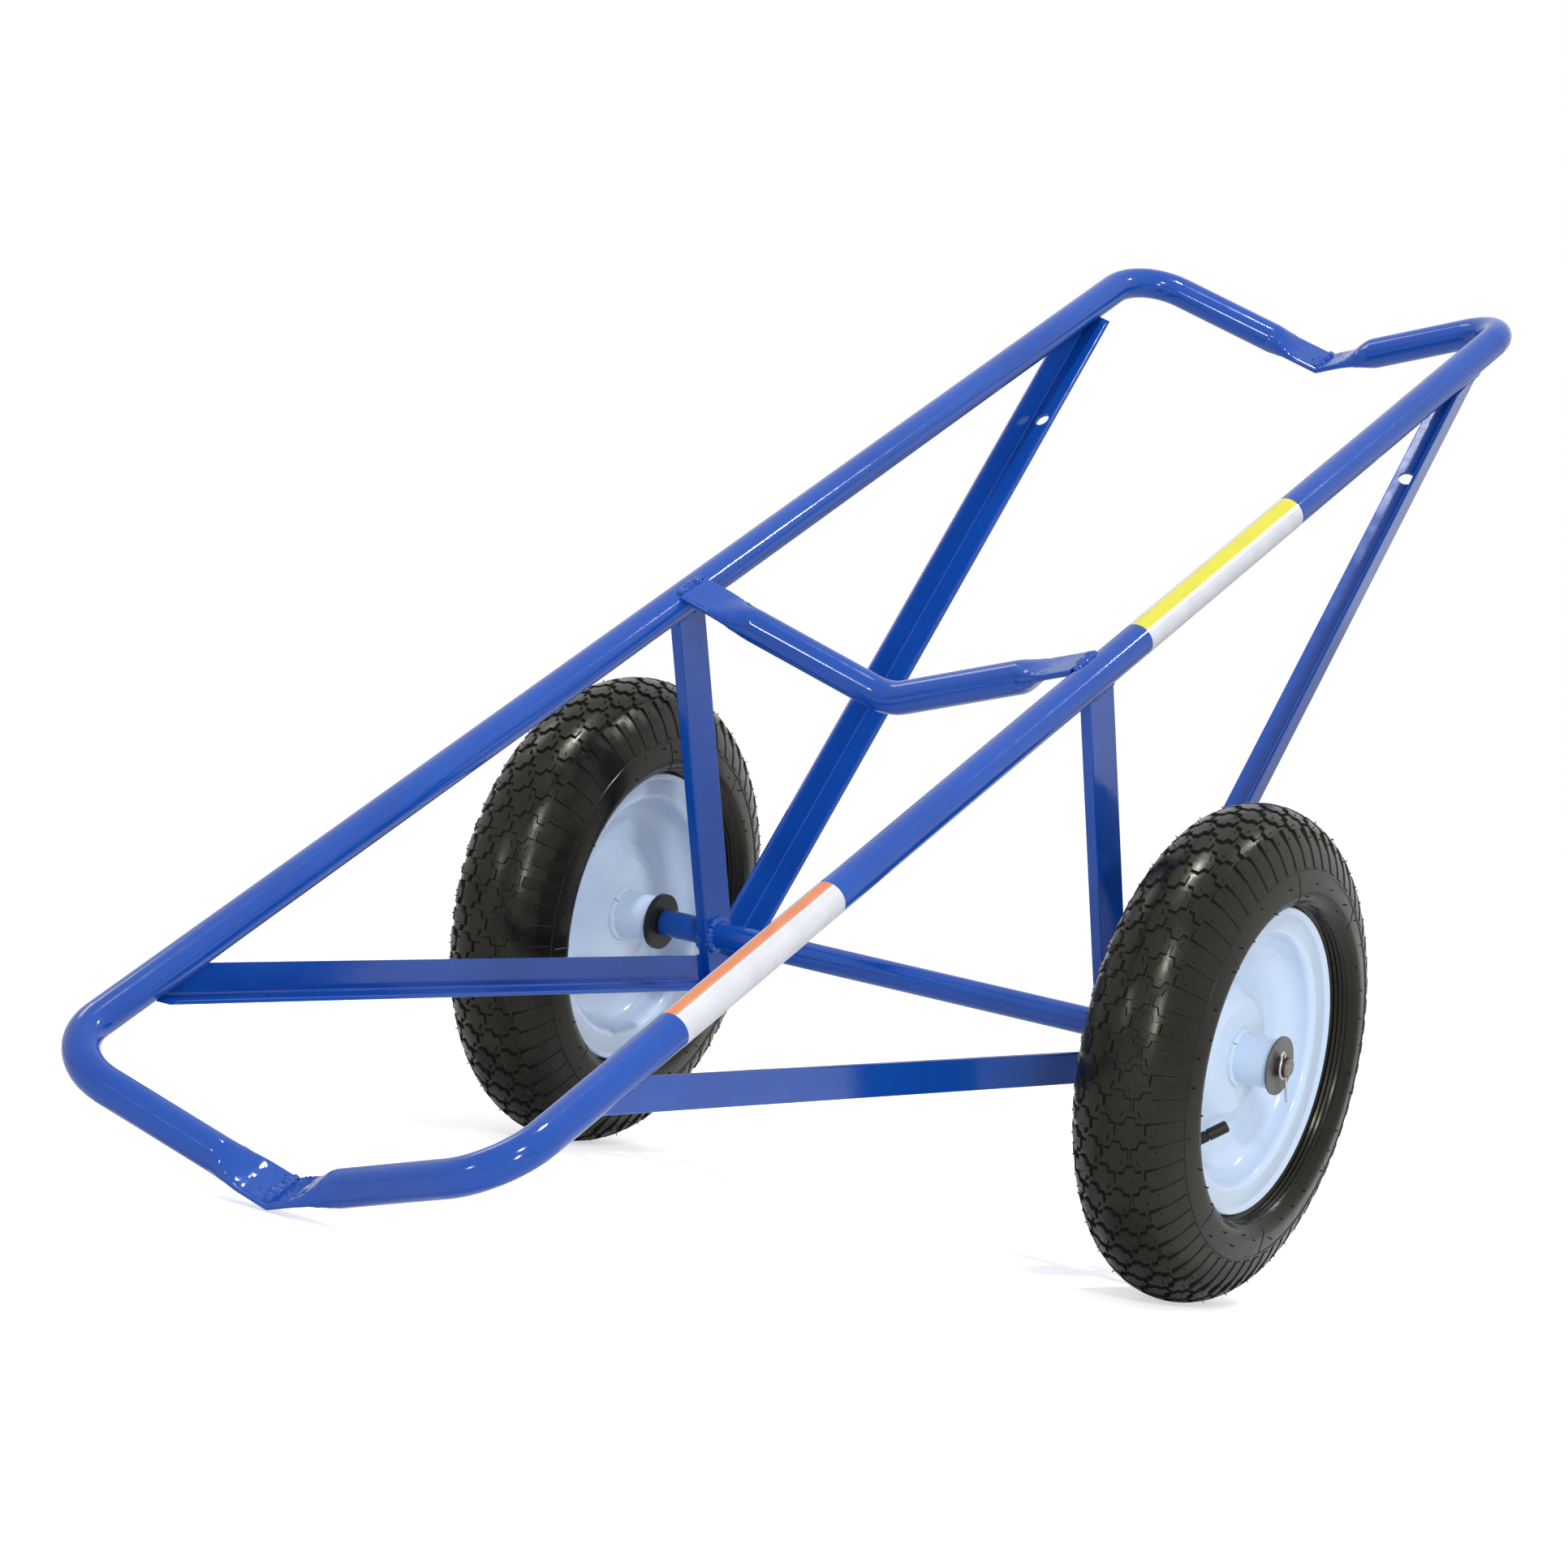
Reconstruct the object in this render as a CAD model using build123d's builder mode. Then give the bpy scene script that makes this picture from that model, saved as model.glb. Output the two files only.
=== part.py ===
from build123d import *
import os
from math import asin, atan2, cos, degrees, hypot, pi, radians, sin, sqrt

# Carpet dolly: two bent tube rails on a welded truss, riding on a pair of pneumatic wheels.
# It is drawn level, with the axle's middle at the origin, X from the nose to the tail along the rails,
# Y from the left wheel to the right one and Z up, and is then tipped onto its nose as it stands parked.

# Rails and their V ends
rail_gauge = 379.3
rail_height = 307.0
nose_reach = 790.0
tail_reach = 785.0
tube_od = 27.2
tube_wall = 2.1
corner_bend_radius = 48.0
v_drop = 65.0
flat_thickness = 6.0
flat_crown = 0.2
v_flat_length = 22.0
v_taper = 34.0

# Middle cross tube
cross_x = 8.0
cross_apex_height = 250.5
cross_bend_radius = 45.0
cross_flat_length = 24.0
cross_taper = 38.0
cross_flat_lift = 2.5
cross_seat = 9.5

# Posts, braces and welds
post_axle_x = 4.5
post_rail_x = 10.5
post_width = 38.1
post_thickness = 9.5
post_drop = 56.0
post_edge_radius = 1.0
angle_leg = 25.4
angle_thickness = 3.2
angle_edge_radius = 1.0
angle_root_radius = 2.0
brace_drop = 50.0
front_brace_reach = 684.0
rear_brace_reach = 700.0
front_brace_roll = 0.0
rear_brace_roll = 12.0
brace_cope = 1.5
roller_hole_d = 13.5
front_hole_x = 581.0
rear_hole_x = 581.0
weld_gap = 0.1

# Axle
track = 586.0
axle_tube_od = 22.8
axle_rod_d = 15.88
axle_fit = 0.1
axle_end = 8.8
axle_chamfer = 1.2
washer_od = 47.0
outer_washer_thickness = 1.8
inner_washer_thickness = 4.4
axle_tube_play = 2.4
side_play = 0.3
pin_wire_d = 2.2
pin_hole_d = 3.0
pin_setback = 4.6
pin_leg_drop = 32.0
pin_bow_radius = 2.5
pin_bow_height = 11.5
pin_wrap_start = 15.0
pin_wrap = 80.0

# Hubs and ball bearings
hub_od = 40.0
hub_wall = 2.5
hub_outer_reach = 47.0
hub_inner_reach = 49.6
bearing_width = 11.0
bearing_recess = 1.0
race_thickness = 3.0
race_fit = 0.02
ball_count = 8
ball_play = 0.15
groove_depth = 0.9

# Pressed steel rims
rim_sheet = 2.0
rim_boss_offset = 14.0
rim_boss_radius = 46.0
rim_boss_fall = 2.0
rim_boss_bend = 10.0
rim_valley_radius = 62.0
rim_well_bend = 20.0
bead_seat_radius = 101.6
flange_offset = 27.0
flange_bend = 5.0
flange_radius = 119.0
rim_lip_radius = 123.3
rim_lip_offset = 31.0
rim_bend_radius = 4.0

# Tyres, inner tubes and valves
tyre_od = 400.0
tyre_width = 103.0
tread_half_width = 31.5
tread_drop = 13.0
widest_radius = 139.0
sidewall_radius = 156.0
sidewall_offset = 47.8
lower_wall_rise = 10.0
lower_wall_lean = 1.0
crown_thickness = 12.0
sidewall_thickness = 6.5
bead_clearance = 0.3
bead_toe_offset = 15.0
bead_height = 10.0
tube_gap = 0.3
inner_tube_wall = 2.0
tube_floor_radius = 98.0
tube_floor_half_width = 7.0
valve_angle = 204.0
valve_root_radius = 92.0
valve_root_offset = 7.6
valve_lean = 42.0
valve_stem_d = 9.0
valve_neck_d = 9.0
valve_neck_length = 19.0
valve_tip_length = 37.0
valve_cap_d = 9.6
valve_cap_chamfer = 1.2
valve_cap_length = 17.0
valve_hole_play = 0.25

# Values worked out from the driving dimensions
half_gauge = rail_gauge / 2
tube_r = tube_od / 2
half_track = track / 2
tyre_r = tyre_od / 2
flat_width = pi * (tube_od - flat_thickness) / 2 + flat_thickness
arm_length = hypot(half_gauge, v_drop)
inner_washer_face = half_track - hub_inner_reach - side_play - inner_washer_thickness
outer_washer_face = half_track + hub_outer_reach + side_play
axle_tube_half = inner_washer_face - axle_tube_play
axle_rod_half = outer_washer_face + outer_washer_thickness + axle_end
axle_bore = axle_rod_d / 2 + axle_fit
post_way = Vector(post_rail_x - post_axle_x, 0, rail_height).normalized()
hub_bore = hub_od / 2 - hub_wall
race_outer_r = hub_bore - race_fit
race_inner_r = axle_rod_d / 2 + race_fit
ball_pitch = (race_outer_r + race_inner_r) / 2
race_gap = race_outer_r - race_inner_r - 2 * race_thickness
groove_radius = race_gap / 2 + groove_depth
ball_r = groove_radius - ball_play
stem_depth = (tube_floor_radius + inner_tube_wall - valve_root_radius) / cos(radians(valve_lean))

# The parked stance: the front edge of the nose and both tyres touch the floor
nose_edge_x = nose_reach + flat_width / 2
nose_edge_z = rail_height - v_drop - flat_thickness / 2 * arm_length / half_gauge
parked_tilt = degrees(atan2(nose_edge_z, nose_edge_x) + asin(tyre_r / hypot(nose_edge_x, nose_edge_z)))
parked = Location((0, 0, tyre_r), (0, -parked_tilt, 0))

os.makedirs("parts", exist_ok=True)
sides = {"left": -1, "right": 1}


def hand_over(piece, node):
    """Stand a finished piece in the parked stance and write it under its node name."""
    piece.part.label = node
    piece.part.locate(parked)
    export_step(piece.part, f"parts/{node}.step")
    print(f"{node}: {len(piece.part.solids())} solids, {piece.part.volume / 1000:.1f} cm3")


def tube_profile(plane, squash, lift, inner):
    """Outer or inner boundary of a tube, from round at squash 0 to a crowned flat at squash 1."""
    shrink = tube_wall if inner else 0
    radius = tube_r - shrink
    flat_half_width = flat_width / 2 - shrink
    flat_half_thickness = flat_thickness / 2 - shrink
    corner_round = radius / sqrt(2)
    corner_flat = flat_half_width - flat_half_thickness
    corner_x = corner_round + (corner_flat - corner_round) * squash
    corner_y = corner_round + (flat_half_thickness - flat_crown - corner_round) * squash
    crown = radius + (flat_half_thickness - radius) * squash
    edge = radius + (flat_half_width - radius) * squash
    rise = lift * squash
    with BuildSketch(plane) as profile:
        with BuildLine():
            ThreePointArc((-corner_x, rise + corner_y), (0, rise + crown), (corner_x, rise + corner_y))
            ThreePointArc((corner_x, rise + corner_y), (edge, rise), (corner_x, rise - corner_y))
            ThreePointArc((corner_x, rise - corner_y), (0, rise - crown), (-corner_x, rise - corner_y))
            ThreePointArc((-corner_x, rise - corner_y), (-edge, rise), (-corner_x, rise + corner_y))
        make_face()
    return profile.sketch


def crushed_end(plane, taper, flat_run, lift, inner, mode):
    """Flatten a tube over a taper from the given plane onwards and run the flat on for flat_run."""
    stations = [0, 0.25, 0.5, 0.75, 1]
    profiles = []
    for station in stations:
        squash = station * station * (3 - 2 * station)
        profiles.append(tube_profile(plane.offset(taper * station), squash, lift, inner))
    loft(profiles, mode=mode)
    extrude(profiles[-1], amount=flat_run, mode=mode)


def arm_plane(apex, corner, distance):
    """Plane across an arm, at a distance from its apex, facing the apex, with its X along the rails."""
    inward = (Vector(*apex) - Vector(*corner)).normalized()
    return Plane(origin=Vector(*apex) - inward * distance, x_dir=(1, 0, 0), z_dir=inward)


def rail_tube(side):
    """One rail with both its arms, bent from one tube and crushed flat where the V ends meet."""
    ends = []
    for reach in (-nose_reach, tail_reach):
        apex = (reach, 0, rail_height - v_drop)
        corner = (reach, side * half_gauge, rail_height)
        ends.append((arm_plane(apex, corner, v_flat_length + v_taper), corner))
    nose, tail = ends
    with BuildPart() as piece:
        with BuildLine() as run:
            FilletPolyline(nose[0].origin, nose[1], tail[1], tail[0].origin, radius=corner_bend_radius)
        for inner, mode in ((False, Mode.ADD), (True, Mode.SUBTRACT)):
            back = Plane(origin=nose[0].origin, x_dir=(1, 0, 0), z_dir=-nose[0].z_dir)
            sweep(tube_profile(back, 0, 0, inner), path=run.line, mode=mode)
            for plane, corner in ends:
                crushed_end(plane, v_taper, v_flat_length + tube_r, 0, inner, mode)
        split(bisect_by=Plane(origin=(0, 0, 0), z_dir=(0, side, 0)), keep=Keep.TOP)
    return piece


def rail_cut(clearance):
    """Cut the two rails' outsides, with a clearance, out of the piece being built."""
    length = 2 * (nose_reach + tail_reach)
    for side in sides.values():
        with BuildSketch(Plane.YZ.offset(-length / 2)) as bore:
            with Locations((side * half_gauge, rail_height)):
                Circle(tube_r + clearance)
        extrude(bore.sketch, amount=length, mode=Mode.SUBTRACT)


def cross_tube():
    """The middle V: a bent tube whose crushed ends lie against the rails' upper inner sides."""
    seat_y = half_gauge - sqrt(tube_r ** 2 - cross_seat ** 2)
    rise = rail_height + cross_seat - cross_apex_height
    slope = atan2(rise, seat_y) - asin(cross_flat_lift / hypot(seat_y, rise))
    arm = hypot(seat_y, rise)
    apex = Vector(cross_x, 0, cross_apex_height)
    planes = []
    for side in sides.values():
        outward = Vector(0, side * cos(slope), sin(slope))
        round_run = arm - cross_flat_length - cross_taper
        planes.append(Plane(origin=apex + outward * round_run, x_dir=(side, 0, 0), z_dir=outward))
    with BuildPart() as piece:
        with BuildLine() as run:
            FilletPolyline(planes[0].origin, apex, planes[1].origin, radius=cross_bend_radius)
        for inner, mode in ((False, Mode.ADD), (True, Mode.SUBTRACT)):
            back = Plane(origin=planes[0].origin, x_dir=(1, 0, 0), z_dir=-planes[0].z_dir)
            sweep(tube_profile(back, 0, 0, inner), path=run.line, mode=mode)
            for plane in planes:
                lift = cross_flat_lift if plane.y_dir.Z > 0 else -cross_flat_lift
                crushed_end(plane, cross_taper, cross_flat_length, lift, inner, mode)
        rail_cut(weld_gap)
    return piece


def post(side):
    """A flat bar from the rail's underside down past the axle tube, which runs through it."""
    foot_x = post_axle_x - post_drop * post_way.X / post_way.Z
    with BuildPart() as piece:
        with BuildSketch(Plane.XY.offset(-post_drop)):
            with Locations((foot_x, side * half_gauge)):
                RectangleRounded(post_width, post_thickness, post_edge_radius)
        extrude(amount=post_drop + rail_height, dir=post_way)
        rail_cut(weld_gap)
        with BuildSketch(Plane.XZ):
            Circle(axle_tube_od / 2 + weld_gap)
        extrude(amount=rail_gauge, both=True, mode=Mode.SUBTRACT)
    return piece


def brace(side, forward, reach, roll, hole_x):
    """An angle iron from a post's lower edge up to the rail's underside, one leg upright and one inward."""
    foot = Vector(0, side * (half_gauge + post_thickness / 2), -brace_drop)
    along = Vector(forward * reach, 0, rail_height - tube_r + brace_drop).normalized()
    level = Vector(0, -side, 0)
    normal = Vector(-forward * along.Z, 0, abs(along.X))
    inward = level * cos(radians(roll)) + normal * sin(radians(roll))
    upright = normal * cos(radians(roll)) - level * sin(radians(roll))
    plane = Plane(origin=foot, x_dir=inward, z_dir=along)
    up = 1 if plane.y_dir.Z > 0 else -1
    leg = angle_leg
    wall = angle_thickness
    outline = [(0, 0), (leg, 0), (leg, up * wall), (wall, up * wall), (wall, up * leg), (0, up * leg)]
    hole_run = hole_x / abs(along.X)
    hole_centre = foot + along * hole_run + inward * ((leg + wall) / 2)
    with BuildPart() as piece:
        with BuildSketch(plane) as section:
            with BuildLine():
                Polyline(*outline, close=True)
            make_face()
            tips = section.vertices().sort_by(lambda v: (v.center() - foot).length)
            fillet(tips[-4:], angle_edge_radius)
            root = foot + (inward + upright) * wall
            roots = section.vertices().sort_by(lambda v: (v.center() - root).length)
            fillet(roots[0], angle_root_radius)
        extrude(amount=hypot(reach, rail_height + brace_drop) + angle_leg)
        post_side = Vector(post_way.Z, 0, -post_way.X) * forward
        post_face = Vector(post_axle_x, 0, 0) + post_side * (post_width / 2 + weld_gap)
        split(bisect_by=Plane(origin=post_face, z_dir=post_side), keep=Keep.TOP)
        cope_height = rail_height - tube_r + brace_cope
        split(bisect_by=Plane(origin=(0, 0, cope_height), z_dir=(0, 0, 1)), keep=Keep.BOTTOM)
        rail_cut(weld_gap)
        with BuildSketch(Plane(origin=hole_centre, x_dir=along, z_dir=upright)):
            Circle(roller_hole_d / 2)
        extrude(amount=2 * wall, both=True, mode=Mode.SUBTRACT)
    rest = Plane(origin=hole_centre + upright * (wall / 2), x_dir=along, z_dir=upright)
    hole = Plane(parked * rest.location)
    middle = tuple(round(v, 3) for v in hole.origin)
    axis = tuple(round(v, 6) for v in hole.z_dir)
    print(f"roller hole at {middle} axis {axis}")
    return piece


def ring(outer_r, inner_r, start, end):
    """A plain ring about the axle line, from start to end along Y."""
    with BuildPart() as piece:
        with BuildSketch(Plane.XZ.offset(-start)):
            Circle(outer_r)
            Circle(inner_r, mode=Mode.SUBTRACT)
        extrude(amount=start - end)
    return piece


def axle_rod():
    """A bright round bar through the axle tube, with a cross hole near each end for its pin."""
    with BuildPart() as piece:
        with BuildSketch(Plane.XZ):
            Circle(axle_rod_d / 2)
        extrude(amount=axle_rod_half, both=True)
        chamfer(piece.edges().filter_by(GeomType.CIRCLE), axle_chamfer)
        with BuildSketch(Plane.XY):
            for side in sides.values():
                with Locations((0, side * (axle_rod_half - pin_setback))):
                    Circle(pin_hole_d / 2)
        extrude(amount=axle_rod_d, both=True, mode=Mode.SUBTRACT)
    return piece


def arc_middle(start, end, way):
    """Middle point of the arc that leaves start along the unit vector way and comes to end."""
    chord = end - start
    lean = way.dot(chord) / chord.length
    bulge = way - chord * (lean / chord.length)
    return tuple((start + end) * 0.5 + bulge * (chord.length / 2 / (1 + lean)))


def cotter_pin(side):
    """A wire clip: a bow above the axle, one straight leg through it and one hugging its nose side."""
    wire_r = pin_wire_d / 2
    hug = axle_rod_d / 2 + wire_r + weld_gap
    start = radians(pin_wrap_start)
    bow_top = (pin_bow_radius, pin_bow_height + pin_bow_radius)
    bow_foot = Vector(2 * pin_bow_radius, pin_bow_height)
    hug_start = Vector(hug * cos(start), hug * sin(start))
    down = Vector(0, -1)
    onward = Vector(sin(start), -cos(start))
    gap = hug_start - bow_foot
    lead = gap.dot(down + onward)
    turn = 2 * (1 - down.dot(onward))
    reach = (sqrt(lead ** 2 + turn * gap.dot(gap)) - lead) / turn
    swing = (bow_foot + down * reach + hug_start - onward * reach) * 0.5
    plane = Plane(origin=(0, side * (axle_rod_half - pin_setback), 0), x_dir=(-1, 0, 0), z_dir=(0, 1, 0))
    with BuildPart() as piece:
        with BuildLine(plane) as wire:
            Line((0, -pin_leg_drop), (0, pin_bow_height))
            ThreePointArc((0, pin_bow_height), bow_top, tuple(bow_foot))
            ThreePointArc(tuple(bow_foot), arc_middle(bow_foot, swing, down), tuple(swing))
            ThreePointArc(tuple(swing), arc_middle(hug_start, swing, -onward), tuple(hug_start))
            CenterArc((0, 0), hug, pin_wrap_start, -pin_wrap)
        with BuildSketch(Plane(origin=plane.from_local_coords((0, -pin_leg_drop, 0)), z_dir=(0, 0, 1))):
            Circle(wire_r)
        sweep(path=wire.line)
    return piece


def bearing_middles(side):
    """Y of the two bearings' middles in one hub."""
    setback = bearing_recess + bearing_width / 2
    inner = half_track - hub_inner_reach + setback
    outer = half_track + hub_outer_reach - setback
    return [side * inner, side * outer]


def races(side, outer):
    """Both bearings' outer or inner races, each with its ball groove."""
    with BuildPart() as piece:
        for middle in bearing_middles(side):
            near = race_outer_r - race_thickness if outer else race_inner_r
            far = race_outer_r if outer else race_inner_r + race_thickness
            with BuildSketch(Plane.XY):
                with Locations(((near + far) / 2, middle)):
                    Rectangle(far - near, bearing_width)
                with Locations((ball_pitch, middle)):
                    Circle(groove_radius, mode=Mode.SUBTRACT)
            revolve(axis=Axis.Y)
    return piece


def balls(side):
    """A ring of balls in each of one hub's two bearings."""
    with BuildPart() as piece:
        for middle in bearing_middles(side):
            with Locations(Plane(origin=(0, middle, 0), z_dir=(0, 1, 0))):
                with PolarLocations(ball_pitch, ball_count):
                    Sphere(ball_r)
    return piece


def valve_line(side):
    """Where a valve leaves its rim, and the way it points: inward and out of the wheel's outer face."""
    angle = radians(valve_angle)
    spoke = Vector(cos(angle), 0, sin(angle))
    root = spoke * valve_root_radius + Vector(0, side * (half_track + valve_root_offset), 0)
    lean = radians(valve_lean)
    return root, spoke * -cos(lean) + Vector(0, side * sin(lean), 0)


def rim_half(side, outer):
    """A pressed dish: low boss, valley where the two halves meet, round well, flange and rolled lip."""
    facing = side if outer else -side
    sheet = rim_sheet / 2
    bends = [rim_boss_bend, rim_bend_radius, rim_well_bend, flange_bend, rim_bend_radius]
    stations = [
        (hub_od / 2 + weld_gap, rim_boss_offset),
        (rim_boss_radius, rim_boss_offset - rim_boss_fall),
        (rim_valley_radius, sheet),
        (bead_seat_radius - sheet, sheet),
        (bead_seat_radius - sheet, flange_offset),
        (flange_radius, flange_offset + sheet),
        (rim_lip_radius, rim_lip_offset),
    ]
    with BuildPart() as piece:
        with BuildSketch(Plane.XY):
            with BuildLine() as middle:
                points = [(r, half_track * side + facing * o) for r, o in stations]
                FilletPolyline(*points, radius=bends)
            trace(middle.line, line_width=rim_sheet)
        revolve(axis=Axis.Y)
        if outer:
            root, way = valve_line(side)
            with BuildSketch(Plane(origin=root, z_dir=way)):
                Circle(valve_stem_d / 2 + valve_hole_play)
            extrude(amount=3 * rim_sheet, both=True, mode=Mode.SUBTRACT)
    return piece


def tyre_stations(inset):
    """Half of the tyre's inner outline as radius and offset from its mid plane, moved in by inset."""
    toe = (bead_seat_radius + bead_height, bead_toe_offset - inset)
    lower = (rim_lip_radius + sidewall_thickness, rim_lip_offset - sidewall_thickness / 2 - inset)
    widest = (sidewall_radius, sidewall_offset - sidewall_thickness - inset)
    shoulder_r = tyre_r - tread_drop - crown_thickness - inset
    shoulder = (shoulder_r, tread_half_width - sidewall_thickness - inset)
    tread_mid = (tyre_r - tread_drop / 4 - crown_thickness - inset, shoulder[1] / 2)
    crown = (tyre_r - crown_thickness - inset, 0)
    return toe, lower, widest, shoulder, tread_mid, crown


def tyre(side):
    """A treadless casing of revolution, open at the beads, with its hollow for the inner tube."""
    middle = side * half_track

    def at(station):
        return station[0], middle + station[1]

    toe, lower, widest, shoulder, inner_tread_mid, crown = tyre_stations(0)
    bead_face = flange_offset - rim_sheet / 2 - bead_clearance
    heel = (bead_seat_radius + bead_clearance, bead_face - rim_bend_radius)
    heel_top = (bead_seat_radius + bead_clearance + rim_bend_radius, bead_face)
    seat = (bead_seat_radius + bead_clearance, bead_toe_offset)
    flange_top = (flange_radius + rim_sheet / 2, bead_face)
    over_lip = (rim_lip_radius + rim_sheet + 4 * bead_clearance, rim_lip_offset + rim_sheet / 2)
    wall_top = (over_lip[0] + lower_wall_lean, over_lip[1] + lower_wall_rise)
    outer_widest = (widest_radius, tyre_width / 2)
    turn_r = wall_top[0] + (outer_widest[0] - wall_top[0]) * 0.3
    turn = (turn_r, wall_top[1] + (outer_widest[1] - wall_top[1]) * 0.68)
    sidewall = (sidewall_radius, sidewall_offset)
    outer_shoulder = (tyre_r - tread_drop, tread_half_width)
    tread_mid = (tyre_r - tread_drop / 4, tread_half_width / 2)
    outer_crown = (tyre_r, 0)
    with BuildPart() as piece:
        with BuildSketch(Plane.XY):
            with BuildLine():
                bead = [toe, seat, heel, heel_top, flange_top, over_lip, wall_top]
                Polyline(*[at(point) for point in bead])
                ThreePointArc(at(wall_top), at(turn), at(outer_widest))
                ThreePointArc(at(outer_widest), at(sidewall), at(outer_shoulder))
                ThreePointArc(at(outer_shoulder), at(tread_mid), at(outer_crown))
                Line(at(outer_crown), at(crown))
                ThreePointArc(at(crown), at(inner_tread_mid), at(shoulder))
                ThreePointArc(at(shoulder), at(widest), at(lower))
                Line(at(lower), at(toe))
            make_face()
        revolve(axis=Axis.Y)
        mirror(about=Plane(origin=(0, middle, 0), z_dir=(0, 1, 0)))
    return piece


def inner_tube(side):
    """The air tube, following the hollow of the tyre, with a hole where the valve is bonded in."""
    middle = side * half_track

    def at(station, sign=1):
        return station[0], middle + sign * station[1]

    toe, lower, widest, shoulder, tread_mid, crown = tyre_stations(tube_gap)
    well = (tube_floor_radius, tube_floor_half_width)
    with BuildPart() as piece:
        with BuildSketch(Plane.XY) as section:
            with BuildLine():
                for sign in (1, -1):
                    Line(at(toe, sign), at(lower, sign))
                    ThreePointArc(at(lower, sign), at(widest, sign), at(shoulder, sign))
                    ThreePointArc(at(shoulder, sign), at(tread_mid, sign), at(crown, sign))
                Polyline(at(toe), at(well), at(well, -1), at(toe, -1))
            make_face()
            offset(amount=-inner_tube_wall, mode=Mode.SUBTRACT)
        revolve(axis=Axis.Y)
        root, way = valve_line(side)
        with BuildSketch(Plane(origin=root, z_dir=-way)):
            Circle(valve_stem_d / 2 + weld_gap)
        extrude(amount=stem_depth, mode=Mode.SUBTRACT)
    return piece


def valve_stem(side):
    """The rubber stem, from the inner tube out through the rim, stepping down to its capped neck."""
    root, way = valve_line(side)
    with BuildPart() as piece:
        with BuildSketch(Plane(origin=root - way * stem_depth, z_dir=way)):
            Circle(valve_stem_d / 2)
        extrude(amount=stem_depth + valve_neck_length)
        with BuildSketch(Plane(origin=root + way * valve_neck_length, z_dir=way)):
            Circle(valve_neck_d / 2 - rim_sheet / 2)
        extrude(amount=valve_tip_length - valve_neck_length - rim_sheet)
    return piece


def valve_cap(side):
    """The screw cap over the stem's neck."""
    root, way = valve_line(side)
    start = root + way * (valve_tip_length - valve_cap_length)
    with BuildPart() as piece:
        with BuildSketch(Plane(origin=start, z_dir=way)):
            Circle(valve_cap_d / 2)
        extrude(amount=valve_cap_length)
        rims = piece.edges().filter_by(GeomType.CIRCLE).sort_by(lambda e: (e.arc_center - root).dot(way))
        chamfer(rims[-1], valve_cap_chamfer)
        with BuildSketch(Plane(origin=start, z_dir=way)):
            Circle(valve_neck_d / 2 - rim_sheet / 2 + weld_gap)
        extrude(amount=valve_cap_length - rim_sheet + weld_gap, mode=Mode.SUBTRACT)
    return piece


hand_over(cross_tube(), "centre_cross_tube")
hand_over(ring(axle_tube_od / 2, axle_bore, -axle_tube_half, axle_tube_half), "axle_tube")
hand_over(axle_rod(), "axle_rod")

for name, side in sides.items():
    hand_over(rail_tube(side), f"{name}_rail_tube")
    hand_over(post(side), f"{name}_post")
    hand_over(brace(side, -1, front_brace_reach, front_brace_roll, front_hole_x), f"{name}_front_brace")
    hand_over(brace(side, 1, rear_brace_reach, rear_brace_roll, rear_hole_x), f"{name}_rear_brace")

    inner_face = side * inner_washer_face
    inner_end = inner_face + side * inner_washer_thickness
    hand_over(ring(washer_od / 2, axle_bore, inner_face, inner_end), f"{name}_inner_washer")
    outer_face = side * outer_washer_face
    outer_end = outer_face + side * outer_washer_thickness
    hand_over(ring(washer_od / 2, axle_bore, outer_face, outer_end), f"{name}_outer_washer")
    hand_over(cotter_pin(side), f"{name}_cotter_pin")
    hand_over(races(side, False), f"{name}_bearing_inner_races")

    hub_ends = (side * (half_track - hub_inner_reach), side * (half_track + hub_outer_reach))
    hand_over(ring(hub_od / 2, hub_bore, *hub_ends), f"{name}_hub_tube")
    hand_over(races(side, True), f"{name}_bearing_outer_races")
    hand_over(balls(side), f"{name}_bearing_balls")
    hand_over(rim_half(side, True), f"{name}_rim_outer_half")
    hand_over(rim_half(side, False), f"{name}_rim_inner_half")
    hand_over(tyre(side), f"{name}_tyre")
    hand_over(inner_tube(side), f"{name}_inner_tube")
    hand_over(valve_stem(side), f"{name}_valve_stem")
    hand_over(valve_cap(side), f"{name}_valve_cap")

print(f"parked tilt {parked_tilt:.4f} degrees, axle {tyre_r:.1f} above the floor")
print(f"flat width {flat_width:.2f}, axle rod {2 * axle_rod_half:.1f} long, ball diameter {2 * ball_r:.2f}")
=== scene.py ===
import bpy
import random
from collections import namedtuple
from math import asin, atan2, cos, hypot, pi, radians, sin, sqrt
from mathutils import Matrix, Vector

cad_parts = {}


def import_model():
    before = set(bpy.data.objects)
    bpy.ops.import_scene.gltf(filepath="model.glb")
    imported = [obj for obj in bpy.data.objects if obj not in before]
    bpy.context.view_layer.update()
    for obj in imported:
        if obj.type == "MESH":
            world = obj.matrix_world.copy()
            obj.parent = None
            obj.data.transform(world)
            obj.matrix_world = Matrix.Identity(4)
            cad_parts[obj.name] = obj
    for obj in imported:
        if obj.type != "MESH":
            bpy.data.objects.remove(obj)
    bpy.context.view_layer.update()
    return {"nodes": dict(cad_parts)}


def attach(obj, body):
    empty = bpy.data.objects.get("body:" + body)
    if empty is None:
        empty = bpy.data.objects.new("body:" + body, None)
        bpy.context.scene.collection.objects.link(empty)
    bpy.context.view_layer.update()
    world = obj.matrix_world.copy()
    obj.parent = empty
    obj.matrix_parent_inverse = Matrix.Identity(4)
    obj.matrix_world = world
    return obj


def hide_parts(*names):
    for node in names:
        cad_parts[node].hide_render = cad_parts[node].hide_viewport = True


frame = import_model()
nodes = frame["nodes"]
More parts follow.
